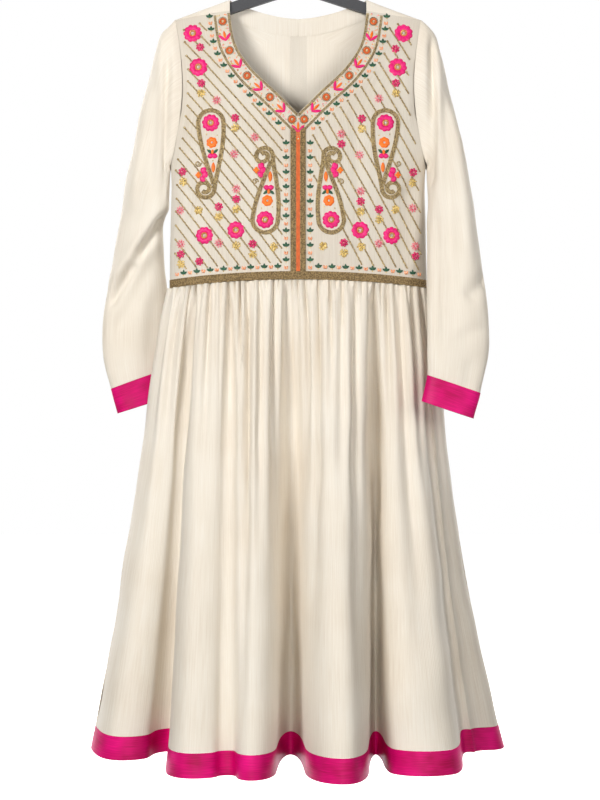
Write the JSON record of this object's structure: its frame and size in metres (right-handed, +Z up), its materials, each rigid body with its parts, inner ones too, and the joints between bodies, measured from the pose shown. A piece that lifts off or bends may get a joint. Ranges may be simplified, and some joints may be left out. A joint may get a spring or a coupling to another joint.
{
  "type": "anarkali gown on hanger",
  "caption": "Ivory long-sleeved anarkali gown with an embroidered bodice, gathered skirt and pink satin cuffs and hem, hanging on a black hanger",
  "frame": {"origin": "inside top of the hanger's hook, where the rail bears", "axes": "+Z up; the gown's front faces -Y; +X runs to the right of someone looking at the front"},
  "size_m": [0.682, 0.278, 1.3503],
  "materials": {
    "ivory_cloth": "fine ribbed cotton silk, soft sheen",
    "pink_satin": "satin",
    "metallic_braid": "twisted antique gold cord and beads",
    "orange_thread": "satin stitch thread",
    "pink_thread": "satin stitch thread",
    "pale_pink_thread": "small glossy beads and thread",
    "green_thread": "satin stitch thread",
    "gold_beads": "small glass and metal beads",
    "peach_beads": "small pearly beads",
    "pink_beads": "small glossy glass beads",
    "pearl_beads": "small pearls",
    "black_plastic": "matte moulded",
    "black_metal": "black painted wire"
  },
  "bodies": {
    "root": {"front_bodice": "ivory_cloth", "back_bodice": "ivory_cloth", "neck_facing_left": "ivory_cloth", "neck_facing_right": "ivory_cloth", "sleeve_left": "ivory_cloth", "sleeve_right": "ivory_cloth", "cuff_left": "pink_satin", "cuff_right": "pink_satin", "skirt_front": "ivory_cloth", "skirt_back": "ivory_cloth", "hem_band_front": "pink_satin", "hem_band_back": "pink_satin", "waist_trim": "metallic_braid", "placket_trim_left": "metallic_braid", "placket_trim_right": "metallic_braid", "placket_stripe": "orange_thread", "hanger_arms": "black_plastic", "hanger_hook": "black_metal"}
  },
  "joints": []
}
